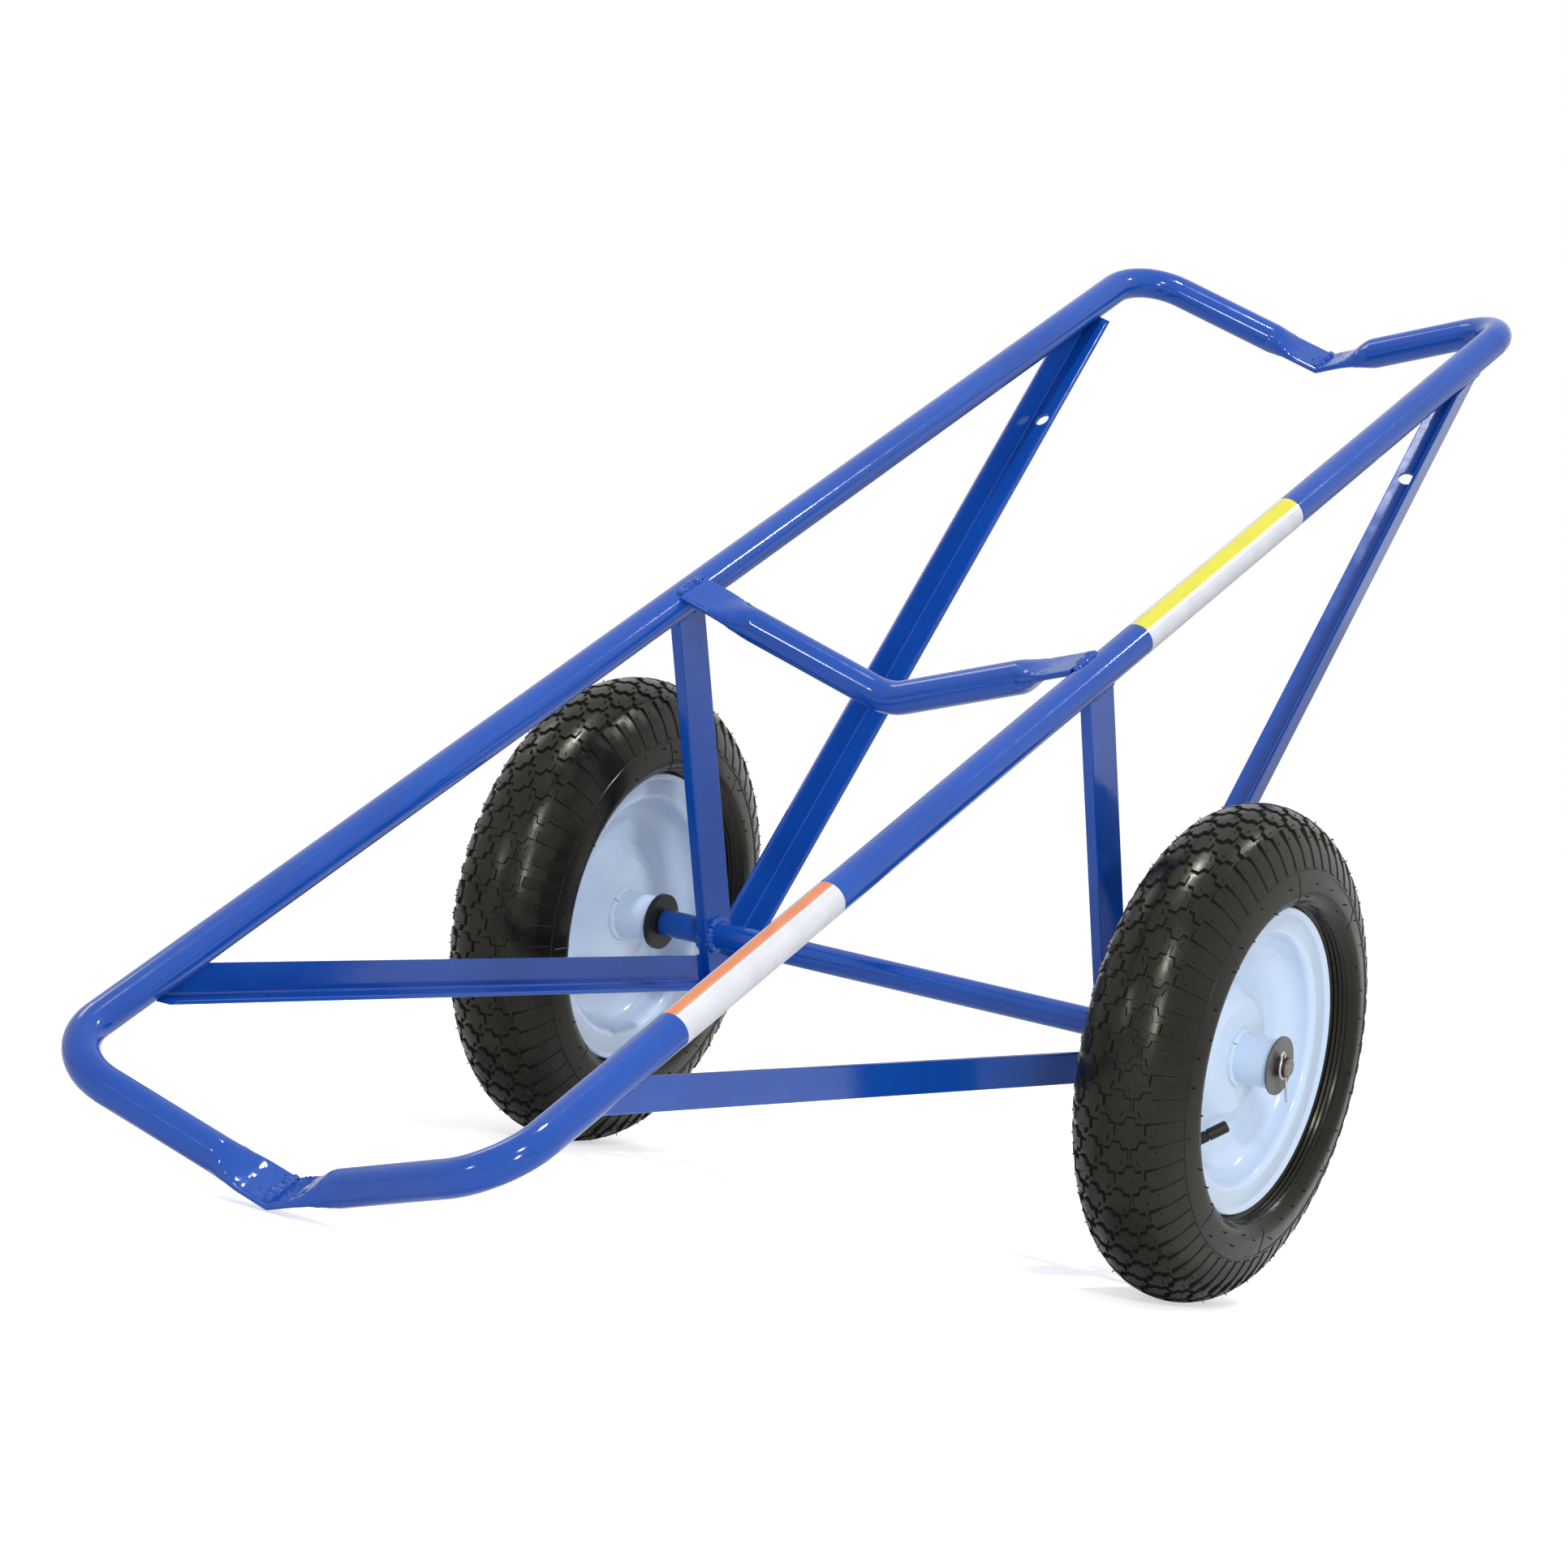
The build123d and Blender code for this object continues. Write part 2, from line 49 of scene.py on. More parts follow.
scene = bpy.context.scene
rng = random.Random(11)

# Dimensions in millimetres, in the level stance: axle middle at the origin, X nose to tail, Z up
half_gauge = 189.65
rail_height = 307.0
nose_reach = 790.0
tail_reach = 785.0
tube_r = 13.6
v_drop = 65.0
flat_thickness = 6.0
flat_width = 39.3
cross_x = 8.0
cross_seat = 9.5
post_rail_x = 10.5
post_half_thickness = 4.75
brace_side = 4.95
axle_tube_r = 11.4
half_track = 293.0
hub_r = 20.0
tyre_r = 200.0
apex_z = rail_height - v_drop
flat_top = flat_thickness / 2 * hypot(half_gauge, v_drop) / half_gauge
nose_edge_x = nose_reach + flat_width / 2
nose_edge_z = apex_z - flat_top
tilt = atan2(nose_edge_z, nose_edge_x) + asin(tyre_r / hypot(nose_edge_x, nose_edge_z))
sides = {"left": -1, "right": 1}


def world(x, y, z):
    """A point of the level stance, in metres, as the dolly stands parked on its nose."""
    return Vector((x * cos(tilt) - z * sin(tilt), y, x * sin(tilt) + z * cos(tilt) + tyre_r)) / 1000


# Materials
def new_material(name):
    material = bpy.data.materials.new(name)
    material.use_nodes = True
    tree = material.node_tree
    return material, tree, tree.nodes["Principled BSDF"]


def noise(tree, scale, detail, rough=0.55, stretch=(1, 1, 1)):
    """A noise value in object space, in features per metre."""
    coords = tree.nodes.new("ShaderNodeTexCoord")
    mapping = tree.nodes.new("ShaderNodeMapping")
    mapping.inputs["Scale"].default_value = stretch
    texture = tree.nodes.new("ShaderNodeTexNoise")
    texture.inputs["Scale"].default_value = scale
    texture.inputs["Detail"].default_value = detail
    texture.inputs["Roughness"].default_value = rough
    tree.links.new(coords.outputs["Object"], mapping.inputs["Vector"])
    tree.links.new(mapping.outputs["Vector"], texture.inputs["Vector"])
    return texture.outputs["Fac"]


def ramp(tree, value, low, high, ends=(0.3, 0.7)):
    """Spread a value between two colours or two greys."""
    node = tree.nodes.new("ShaderNodeValToRGB")
    for element, place, colour in zip(node.color_ramp.elements, ends, (low, high)):
        element.position = place
        element.color = (*colour, 1) if isinstance(colour, tuple) else (colour, colour, colour, 1)
    tree.links.new(value, node.inputs["Fac"])
    return node.outputs["Color"]


def bump(tree, shader, value, strength, distance):
    """Raise the surface by a value, over a distance in metres."""
    node = tree.nodes.new("ShaderNodeBump")
    node.inputs["Strength"].default_value = strength
    node.inputs["Distance"].default_value = distance
    tree.links.new(value, node.inputs["Height"])
    tree.links.new(node.outputs["Normal"], shader.inputs["Normal"])


def paint(name, colours, roughness, peel):
    """Gloss powder coat: slight mottling, orange peel and uneven gloss."""
    material, tree, shader = new_material(name)
    mottle = ramp(tree, noise(tree, scale=9, detail=5), *colours, ends=(0.35, 0.65))
    gloss = ramp(tree, noise(tree, scale=60, detail=3), *roughness)
    tree.links.new(mottle, shader.inputs["Base Color"])
    tree.links.new(gloss, shader.inputs["Roughness"])
    shader.inputs["Specular IOR Level"].default_value = 0.4
    bump(tree, shader, noise(tree, scale=170, detail=2), strength=peel, distance=0.0006)
    return material


frame_blue = ((0.0025, 0.052, 0.31), (0.004, 0.062, 0.35))
rim_blue = ((0.565, 0.69, 0.86), (0.60, 0.715, 0.88))
frame_paint = paint("frame_paint", frame_blue, roughness=(0.09, 0.14), peel=0.004)
weld_paint = paint("weld_paint", frame_blue, roughness=(0.06, 0.12), peel=0.02)
rim_paint = paint("rim_paint", rim_blue, roughness=(0.12, 0.20), peel=0.005)
rim_weld_paint = paint("rim_weld_paint", rim_blue, roughness=(0.07, 0.14), peel=0.02)


def rubber(name, dark, light, roughness, grain):
    """Moulded rubber: faint bloom, dull patches and a fine grain."""
    material, tree, shader = new_material(name)
    bloom = ramp(tree, noise(tree, scale=26, detail=6), dark, light)
    dull = ramp(tree, noise(tree, scale=90, detail=4), *roughness)
    tree.links.new(bloom, shader.inputs["Base Color"])
    tree.links.new(dull, shader.inputs["Roughness"])
    shader.inputs["Specular IOR Level"].default_value = 0.28
    shader.inputs["Specular Tint"].default_value = (1.0, 0.98, 0.84, 1)
    bump(tree, shader, noise(tree, scale=900, detail=3), strength=grain, distance=0.0002)
    return material


tyre_rubber = rubber("tyre_rubber", (0.0045, 0.0043, 0.0030), (0.0085, 0.0082, 0.0058),
                     roughness=(0.20, 0.32), grain=0.10)
# Darker rubber for the walls of the tread blocks: painted shade in the grooves, where the blocks shade each
# other.
painted_shade_rubber = rubber("painted_shade_rubber", (0.002, 0.002, 0.002), (0.005, 0.005, 0.004),
                       roughness=(0.6, 0.8), grain=0.15)
inner_rubber = rubber("inner_rubber", (0.010, 0.010, 0.010), (0.018, 0.018, 0.018),
                      roughness=(0.5, 0.7), grain=0.2)
black_plastic = rubber("black_plastic", (0.010, 0.010, 0.011), (0.018, 0.018, 0.019),
                       roughness=(0.30, 0.45), grain=0.15)

along_axle = (1, 0.15, 1)
even = (1, 1, 1)


def steel(name, dark, light, roughness, stretch):
    """Steel with dull spots and drawing marks, which run the way that the noise is stretched."""
    material, tree, shader = new_material(name)
    shader.inputs["Metallic"].default_value = 1.0
    spots = ramp(tree, noise(tree, scale=40, detail=6), dark, light)
    marks = ramp(tree, noise(tree, scale=160, detail=4, rough=0.6, stretch=stretch), *roughness)
    tree.links.new(spots, shader.inputs["Base Color"])
    tree.links.new(marks, shader.inputs["Roughness"])
    scratches = noise(tree, scale=600, detail=3, rough=0.6, stretch=stretch)
    bump(tree, shader, scratches, strength=0.12, distance=0.0002)
    return material


def axle_steel():
    """Dull cold drawn bar, brown with oil along its sides and cleaner on its sawn ends."""
    material = steel("axle_steel", (0.075, 0.066, 0.052), (0.11, 0.098, 0.08),
                     roughness=(0.38, 0.52), stretch=along_axle)
    tree = material.node_tree
    shader = tree.nodes["Principled BSDF"]
    oiled = shader.inputs["Base Color"].links[0].from_socket
    coords = tree.nodes.new("ShaderNodeTexCoord")
    parts = tree.nodes.new("ShaderNodeSeparateXYZ")
    along = tree.nodes.new("ShaderNodeMath")
    along.operation = "ABSOLUTE"
    tree.links.new(coords.outputs["Normal"], parts.inputs["Vector"])
    tree.links.new(parts.outputs["Y"], along.inputs[0])
    sawn = ramp(tree, noise(tree, scale=300, detail=4), (0.20, 0.19, 0.17), (0.34, 0.33, 0.30))
    facing_out = ramp(tree, along.outputs[0], 0.0, 1.0, ends=(0.55, 0.9))
    mix = tree.nodes.new("ShaderNodeMix")
    mix.data_type = "RGBA"
    tree.links.new(facing_out, mix.inputs["Factor"])
    tree.links.new(oiled, mix.inputs["A"])
    tree.links.new(sawn, mix.inputs["B"])
    tree.links.new(mix.outputs["Result"], shader.inputs["Base Color"])
    return material


bright_steel = steel("bright_steel", (0.50, 0.50, 0.50), (0.68, 0.67, 0.65),
                     roughness=(0.22, 0.42), stretch=along_axle)
bearing_steel = steel("bearing_steel", (0.45, 0.45, 0.46), (0.60, 0.60, 0.60),
                      roughness=(0.18, 0.30), stretch=even)
washer_steel = steel("washer_steel", (0.18, 0.177, 0.172), (0.24, 0.236, 0.23),
                     roughness=(0.40, 0.52), stretch=even)


def vinyl(name, dark, light):
    """Vinyl tape: slightly uneven colour, rubbed gloss and a faint grain."""
    material, tree, shader = new_material(name)
    tone = ramp(tree, noise(tree, scale=55, detail=5), dark, light)
    rubbed = ramp(tree, noise(tree, scale=120, detail=4, rough=0.6, stretch=(0.3, 1, 0.3)), 0.24, 0.40)
    tree.links.new(tone, shader.inputs["Base Color"])
    tree.links.new(rubbed, shader.inputs["Roughness"])
    bump(tree, shader, noise(tree, scale=120, detail=2), strength=0.004, distance=0.0004)
    return material


white_vinyl = vinyl("white_vinyl", (0.53, 0.54, 0.60), (0.595, 0.605, 0.65))
orange_vinyl = vinyl("orange_vinyl", (0.52, 0.16, 0.062), (0.60, 0.19, 0.075))
yellow_vinyl = vinyl("yellow_vinyl", (0.54, 0.51, 0.026), (0.60, 0.56, 0.034))

slot_materials = {
    "frame_paint": frame_paint,
    "rim_paint": rim_paint,
    "tyre_rubber": tyre_rubber,
    "inner_rubber": inner_rubber,
    "bright_steel": bright_steel,
    "bearing_steel": bearing_steel,
    "black_plastic": black_plastic,
}
node_materials = {
    "axle_rod": axle_steel(),
    "left_outer_washer": washer_steel,
    "right_outer_washer": washer_steel,
}


# Mesh helpers
def make_piece(name, verts, faces, material, body, replaced=(), crease=38.0):
    """A smooth shaded mesh piece, sharp where its faces turn by more than the crease angle."""
    mesh = bpy.data.meshes.new(name)
    mesh.from_pydata(verts, [], faces)
    mesh.validate()
    mesh.materials.append(material)
    mesh.shade_smooth()
    mesh.set_sharp_from_angle(angle=radians(crease))
    piece = bpy.data.objects.new(name, mesh)
    scene.collection.objects.link(piece)
    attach(piece, body)
    if replaced:
        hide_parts(*replaced)
    return piece


def add_second_material(piece, material, chosen):
    """Give the chosen faces, marked by 1 in a list of all faces, a material of their own."""
    piece.data.materials.append(material)
    piece.data.polygons.foreach_set("material_index", chosen)


def stub_faces(start, levels, ring_sides):
    """The quads round a stack of rings of vertices, and its base and top, all facing out."""
    quads = []
    for level in range(levels - 1):
        for k in range(ring_sides):
            a = start + level * ring_sides + k
            b = start + level * ring_sides + (k + 1) % ring_sides
            quads.append((a, b, b + ring_sides, a + ring_sides))
    base = tuple(reversed(range(start, start + ring_sides)))
    top = tuple(range(start + (levels - 1) * ring_sides, start + levels * ring_sides))
    return quads, base, top


# Tyres: a casing with rows of raised cross shaped blocks and shoulder bars.
# Points of the section are radius and offset from the wheel's middle. On the unrolled tyre, u runs
# round the crown and v is the length along the outside, from the crown to a bead.
tread_half_width = 31.5
tread_drop = 13.0
over_lip = (126.5, 32.0)
wall_top = (127.5, 42.0)
widest = (139.0, 51.5)
sidewall = (156.0, 47.8)
shoulder = (tyre_r - tread_drop, tread_half_width)
wall_turn_shares = (0.3, 0.68)
wall_turn = tuple(a + (b - a) * share for a, b, share in zip(wall_top, widest, wall_turn_shares))
casing_inside = [
    (120.0, 25.7), (106.0, 25.7), (101.9, 21.7), (101.9, 15.0), (111.6, 15.0), (129.8, 27.7), (139.0, 38.0),
    (151.6, 41.6), (163.0, 38.8), (170.0, 32.5), (174.5, 25.0), (182.0, 14.0), (188.0, 0.0),
]
tyre_crease = 32.0

# Blocks: each has a wide body and narrow arms, in two kinds of rows with their middles in pitches
row_count = 60
row_pitch = 2 * pi * tyre_r / row_count
two_rows = 2 * row_pitch
tread_phase = radians(162.46)
block_pitch = 21.5
wide_half = 9.4
wide_reach = 4.6
narrow_half = 4.1
narrow_reach = row_pitch / 2
narrow_slant = 0.9
narrow_end_v = 38
block_rows = ((0.0, (0.5, 1.5)), (row_pitch, (0.0, 1.0, 2.0)))
slanted_rows = ((0.0, (0.5, 1.5)), (row_pitch, (0.0, 1.0)))
half_pitches = 5
draft = 0.3
block_depth = 2.2
bar_depth = 0.8
bar_length = 33.5
shoulder_fade = 16

# Sidewall: a ring beside the bars, and ribs next to the rim
ring_gap = 2.4
ring_top_half = 0.7
ring_foot_half = 1.3
ridge_depth = 0.1
rib_count = 8
rib_reach = 5.0
rib_valley_depth = 0.9

# Spacing of the grid lines across the tread and sidewalls
grid_slip = 0.05
nearest_lines = 0.35
block_lines_end = 44
bar_lines_start = 46
bar_line_step = 4.5
bar_end_clear = 1
wall_line_count = 9

# Vent spews: places across the tread in even and odd rows, radii, and heights from the sunk root
spew_sides = 6
spew_root = 0.3
spew_profile = ((0, 1.0), (0.8, 0.85), (1, 0.5))
bar_spew_v = 43.0
bar_spew_r = 0.85
bar_spew_height = 2.7
thin_spew_v = (33.0, 22.5)
thin_spew_r = 0.5
thin_spew_height = block_depth + 2.4
thin_spew_turn = 0.02
stub_spew_v = (16.8, 27.5)
stub_spew_r = 1.5
stub_spew_height = block_depth + 0.45
wall_spew_count = 40
wall_spew_shift = 0.35
wall_spew_r = 0.75
wall_spew_heights = (1.5, 2.6)

# Mould seams: fine ridges across each sidewall, with height and place aside in their profile
seam_count = 8
seam_steps = 10
seam_clear = 1.6
seam_profile = ((-0.3, -0.8), (0.45, 0.0), (-0.3, 0.8))

Arc = namedtuple("Arc", "centre_r centre_o radius start length")


def arc_through(a, b, c):
    """The arc through three points of the section."""
    (ax, ay), (bx, by), (cx, cy) = a, b, c
    aa, bb, cc = ax * ax + ay * ay, bx * bx + by * by, cx * cx + cy * cy
    d = 2 * (ax * (by - cy) + bx * (cy - ay) + cx * (ay - by))
    centre_r = (aa * (by - cy) + bb * (cy - ay) + cc * (ay - by)) / d
    centre_o = (aa * (cx - bx) + bb * (ax - cx) + cc * (bx - ax)) / d
    radius = hypot(ax - centre_r, ay - centre_o)
    start = atan2(ay - centre_o, ax - centre_r)
    turn = (atan2(cy - centre_o, cx - centre_r) - start) % (2 * pi)
    return Arc(centre_r, centre_o, radius, start, radius * turn)


tread_arc = arc_through((shoulder[0], -shoulder[1]), (tyre_r, 0.0), shoulder)
wall_arc = arc_through(shoulder, sidewall, widest)
turn_arc = arc_through(widest, wall_turn, wall_top)
shoulder_v = tread_arc.length / 2
widest_v = shoulder_v + wall_arc.length
wall_top_v = widest_v + turn_arc.length
lip_v = wall_top_v + hypot(wall_top[0] - over_lip[0], wall_top[1] - over_lip[1])
bar_end_v = shoulder_v + bar_length
ring_v = bar_end_v + ring_gap
rib_start_v = wall_top_v - rib_reach
rib_pitch = (lip_v - rib_start_v) / rib_count
wall_spew_v = (ring_v + 5, ring_v + 10, widest_v - 1, widest_v + 4)


def casing(v):
    """Radius, offset and outward normal of the tyre's outside."""
    sign = -1 if v < 0 else 1
    v = abs(v)
    if v > wall_top_v:
        share = (v - wall_top_v) / (lip_v - wall_top_v)
        r = wall_top[0] + (over_lip[0] - wall_top[0]) * share
        o = wall_top[1] + (over_lip[1] - wall_top[1]) * share
        return r, sign * o, -1.0, 0.0
    if v <= shoulder_v:
        arc, turn = tread_arc, v / tread_arc.radius
    elif v <= widest_v:
        arc, turn = wall_arc, wall_arc.start + (v - shoulder_v) / wall_arc.radius
    else:
        arc, turn = turn_arc, turn_arc.start + (v - widest_v) / turn_arc.radius
    r = arc.centre_r + arc.radius * cos(turn)
    o = arc.centre_o + arc.radius * sin(turn)
    return r, sign * o, cos(turn), sign * sin(turn)


def ground_depth(v):
    """How far the ground between the blocks, and the plain sidewall, lie below the casing's outside."""
    v = abs(v)
    if v <= shoulder_v:
        return block_depth
    if v < bar_end_v - 2 * grid_slip:
        return block_depth + (bar_depth - block_depth) * min(1, (v - shoulder_v) / shoulder_fade)
    if abs(v - ring_v) < ring_top_half + grid_slip:
        return ridge_depth
    if v > rib_start_v - grid_slip:
        return ridge_depth if round((v - rib_start_v) / rib_pitch) % 2 else rib_valley_depth
    return bar_depth


def row_distance(u, row):
    """How far round the crown a point lies from the nearest row of its kind."""
    return abs((u - row + row_pitch) % two_rows - row_pitch)


def is_block(u, v):
    """Whether a point of the unrolled tread lies on a raised block."""
    v = abs(v)
    for row, centres in block_rows:
        du = row_distance(u, row)
        outermost = centres[-1] * block_pitch
        if du < wide_reach and outermost - wide_half < v < bar_end_v:
            return True
        for centre in centres:
            dv = abs(v - centre * block_pitch)
            in_arm = du < narrow_reach and dv < narrow_half and v < narrow_end_v
            if in_arm or (du < wide_reach and dv < wide_half):
                return True
    return False


def slanted(u, v):
    """Grid node with the narrow arms of the blocks made to taper towards their ends."""
    side = -1 if v < 0 else 1
    for row, centres in slanted_rows:
        du = row_distance(u, row)
        for centre in centres:
            dv = abs(v) - centre * block_pitch
            if abs(abs(dv) - narrow_half) < grid_slip:
                lean = narrow_slant * side * (1 if dv > 0 else -1)
                if abs(du - narrow_reach) < grid_slip:
                    return u, v - lean
                if abs(du - wide_reach) < grid_slip:
                    return u, v + lean
    return u, v


def tread_lines():
    """Grid lines of the unrolled tyre: u over two rows, v from lip to lip."""
    us = [0, wide_reach, narrow_reach, row_pitch - wide_reach]
    us += [u + row_pitch for u in us]
    vs = [bar_end_v]
    vs += [ring_v + reach for reach in (-ring_foot_half, -ring_top_half, ring_top_half, ring_foot_half)]
    for half in range(half_pitches):
        centre = half * block_pitch / 2
        vs += [centre - narrow_half, centre + narrow_half, centre - wide_half, centre + wide_half]
    vs = [v for v in vs if v > 0 and not block_lines_end < v < bar_end_v - bar_end_clear]
    bar_span = bar_end_v - bar_lines_start
    steps = int(bar_span / bar_line_step)
    vs += [bar_lines_start + bar_span * i / steps for i in range(steps)]
    wall_span = rib_start_v - ring_v - ring_foot_half
    vs += [ring_v + ring_foot_half + wall_span * i / wall_line_count for i in range(1, wall_line_count)]
    vs += [rib_start_v + rib_pitch * i for i in range(rib_count + 1)]
    lines = []
    for v in sorted(vs):
        if not lines or v - lines[-1] > nearest_lines:
            lines.append(v)
    return us, [-v for v in reversed(lines)] + lines


def tyre_piece(name, side):
    """A whole tyre: tread, sidewalls, beads, inside, vent spews and mould seams."""
    us, vs = tread_lines()
    columns = len(us)
    count = columns * row_count // 2
    verts = []
    faces = []
    painted_shade_faces = []
    index = {}

    def angle_at(i, u_shift=0.0):
        u = us[i % columns] + two_rows * (i // columns) + u_shift
        return tread_phase + tilt + u / tyre_r

    def place(r, o, angle):
        return r * cos(angle) / 1000, side * (half_track + o) / 1000, (r * sin(angle) + tyre_r) / 1000

    def below(v, depth, angle):
        r, o, nr, no = casing(v)
        return place(r - nr * depth, o - no * depth, angle)

    def middle_u(i):
        a = us[i % columns]
        b = us[(i + 1) % columns] if (i + 1) % columns else two_rows
        return (a + b) / 2

    def node(i, j, top):
        """A grid node on the blocks' tops or on the ground, moved aside for the draft of the block walls."""
        i %= count
        key = (i, j, top)
        if key not in index:
            u, v = slanted(us[i % columns], vs[j])
            cells = [(i + a, j + b) for a in (-1, 0) for b in (-1, 0)]
            high = [raised[a % count][b] if 0 <= b < len(vs) - 1 else False for a, b in cells]
            toward_u = high[2] + high[3] - high[0] - high[1]
            toward_v = high[1] + high[3] - high[0] - high[2]
            ease = draft if top else -draft
            u += ease * ((toward_u > 0) - (toward_u < 0))
            v += ease * ((toward_v > 0) - (toward_v < 0))
            index[key] = len(verts)
            depth = 0.0 if top else ground_depth(v)
            verts.append(below(v, depth, angle_at(i, u - us[i % columns])))
        return index[key]

    # Faces given 1 here are block walls, which take the darker rubber as painted shade.
    def quad(a, b, c, d, painted_shade_wall=0):
        faces.append((a, b, c, d) if side > 0 else (d, c, b, a))
        painted_shade_faces.append(painted_shade_wall)

    def cover(face, turned):
        faces.append(face[::-1] if turned else face)
        painted_shade_faces.append(0)

    raised = []
    for i in range(count):
        raised.append([is_block(middle_u(i), (vs[j] + vs[j + 1]) / 2) for j in range(len(vs) - 1)])
    for i in range(count):
        for j in range(len(vs) - 1):
            top = raised[i][j]
            quad(node(i, j, top), node(i, j + 1, top), node(i + 1, j + 1, top), node(i + 1, j, top))
            if top != raised[(i + 1) % count][j]:
                upper = node(i + 1, j, top), node(i + 1, j + 1, top)
                lower = node(i + 1, j + 1, not top), node(i + 1, j, not top)
                quad(*upper, *lower, painted_shade_wall=1)
            if j + 1 < len(vs) - 1 and top != raised[i][j + 1]:
                first = node(i, j + 1, top), node(i, j + 1, not top)
                second = node(i + 1, j + 1, not top), node(i + 1, j + 1, top)
                quad(*first, *second, painted_shade_wall=1)

    # The beads and the inside close the casing from lip to lip
    inside = casing_inside + [(r, -o) for r, o in reversed(casing_inside[:-1])]
    rings = [[node(i, len(vs) - 1, False) for i in range(count)]]
    for r, o in inside:
        start = len(verts)
        verts.extend(place(r, o, angle_at(i)) for i in range(count))
        rings.append(list(range(start, start + count)))
    rings.append([node(i, 0, False) for i in range(count)])
    for low, high in zip(rings, rings[1:]):
        for i in range(count):
            k = (i + 1) % count
            quad(low[i], high[i], high[k], low[k])

    def spew(angle, v, radius, height):
        nr, no = casing(v)[2:]
        out = Vector((nr * cos(angle), side * no, nr * sin(angle)))
        across = Vector((-sin(angle), 0, cos(angle)))
        along = out.cross(across)
        foot = Vector(below(v, ground_depth(v) + spew_root, angle))
        start = len(verts)
        for share, spread in spew_profile:
            for k in range(spew_sides):
                turn = 2 * pi * k / spew_sides
                aside = (across * cos(turn) + along * sin(turn)) * radius * spread
                verts.append(tuple(foot + (aside + out * (height * share)) / 1000))
        quads, base, top = stub_faces(start, len(spew_profile), spew_sides)
        for corners in quads:
            quad(*corners)
        cover(top, side < 0)
        cover(base, side < 0)

    for face in (-1, 1):
        for row in range(row_count):
            angle = tread_phase + tilt + 2 * pi * row / row_count
            odd = row % 2
            spew(angle, face * bar_spew_v, bar_spew_r, bar_spew_height)
            spew(angle + thin_spew_turn, face * thin_spew_v[odd], thin_spew_r, thin_spew_height)
            spew(angle, face * stub_spew_v[odd], stub_spew_r, stub_spew_height)
        for k in range(wall_spew_count):
            angle = 2 * pi * (k + rng.uniform(-wall_spew_shift, wall_spew_shift)) / wall_spew_count
            v = rng.choice(wall_spew_v)
            spew(angle, face * v, wall_spew_r, rng.uniform(*wall_spew_heights))

    def seam(angle, face):
        inner_v, outer_v = ring_v + seam_clear, rib_start_v - seam_clear
        ridge = len(seam_profile)
        start = len(verts)
        for i in range(seam_steps + 1):
            v = face * (inner_v + (outer_v - inner_v) * i / seam_steps)
            r = casing(v)[0]
            for lift, aside in seam_profile:
                verts.append(below(v, ground_depth(v) - lift, angle + aside / r))
        turned = face * side < 0
        for i in range(seam_steps):
            low = start + ridge * i
            for j in range(ridge):
                k = (j + 1) % ridge
                cover((low + j, low + j + ridge, low + k + ridge, low + k), turned)
        end = start + ridge * seam_steps
        cover(tuple(range(start, start + ridge)), turned)
        cover(tuple(reversed(range(end, end + ridge))), turned)

    for face in (-1, 1):
        for k in range(seam_count):
            seam(tread_phase + tilt + 2 * pi * k / seam_count, face)

    piece = make_piece(f"{name}_tyre_treaded", verts, faces, tyre_rubber, f"{name}_wheel",
                       [f"{name}_tyre"], tyre_crease)
    # The block walls take the darker rubber: painted shade along the grooves.
    add_second_material(piece, painted_shade_rubber, painted_shade_faces)


for name, side in sides.items():
    tyre_piece(name, side)

# Weld beads: a rippled run of weld metal along each seam, with bead radii and ripples in metres
heavy_bead = 0.0042
post_bead = 0.0027
foot_bead = 0.0028
brace_bead = 0.0024
hub_bead = 0.0029
bead_sides = 10
bead_step = 0.00075
bead_ripple = 0.0034
bead_least_steps = 8
bead_least_waves = 2
bead_valley = 0.86
bead_swell = 0.2
bead_lean = 0.18
bead_wobble = 0.03
bead_tip = 0.45
bead_crease = 70
steep_way = 0.9
length_slip = 1e-12
tiny = 1e-9

# Places of the runs in millimetres. A run on the cross tube has reach, shift out and lift, one at a
# brace's foot has its place, lower end and upper end, and one at a brace's top has its two ends.
v_weld_half = 17.5
v_under_run = (-10, 16)
v_under_sink = 0.6
cross_runs = ((17, 2.5, 2.2), (16, -2.0, -4.5))
post_weld_half = 18
axle_weld_out = 0.2
axle_weld_rise = 0.4
foot_runs = ((-15.3, -42.3, -13.9), (23.0, -38.7, -10.4))
brace_top_runs = ((-684, -632), (645, 700))
hub_weld_out = 15.4
hub_weld_rise = 0.8
hub_weld_points = 64

# Spatter beside the nose and tail welds
spatter_count = 14
spatter_aside = (5, 13)
spatter_along = 17
spatter_radii = (0.0004, 0.0009)
spatter_sides = 6
spatter_rises = (-55, -5, 45)


def spatter_drop(verts, faces, at, radius):
    """A small drop of spatter, sunk a little into the surface it landed on."""
    start = len(verts)
    for rise in spatter_rises:
        flat = radius * cos(radians(rise))
        for k in range(spatter_sides):
            turn = 2 * pi * k / spatter_sides
            offset = Vector((flat * cos(turn), flat * sin(turn), radius * sin(radians(rise))))
            verts.append(tuple(at + offset))
    quads, base, top = stub_faces(start, len(spatter_rises), spatter_sides)
    faces.extend([*quads, base, top])


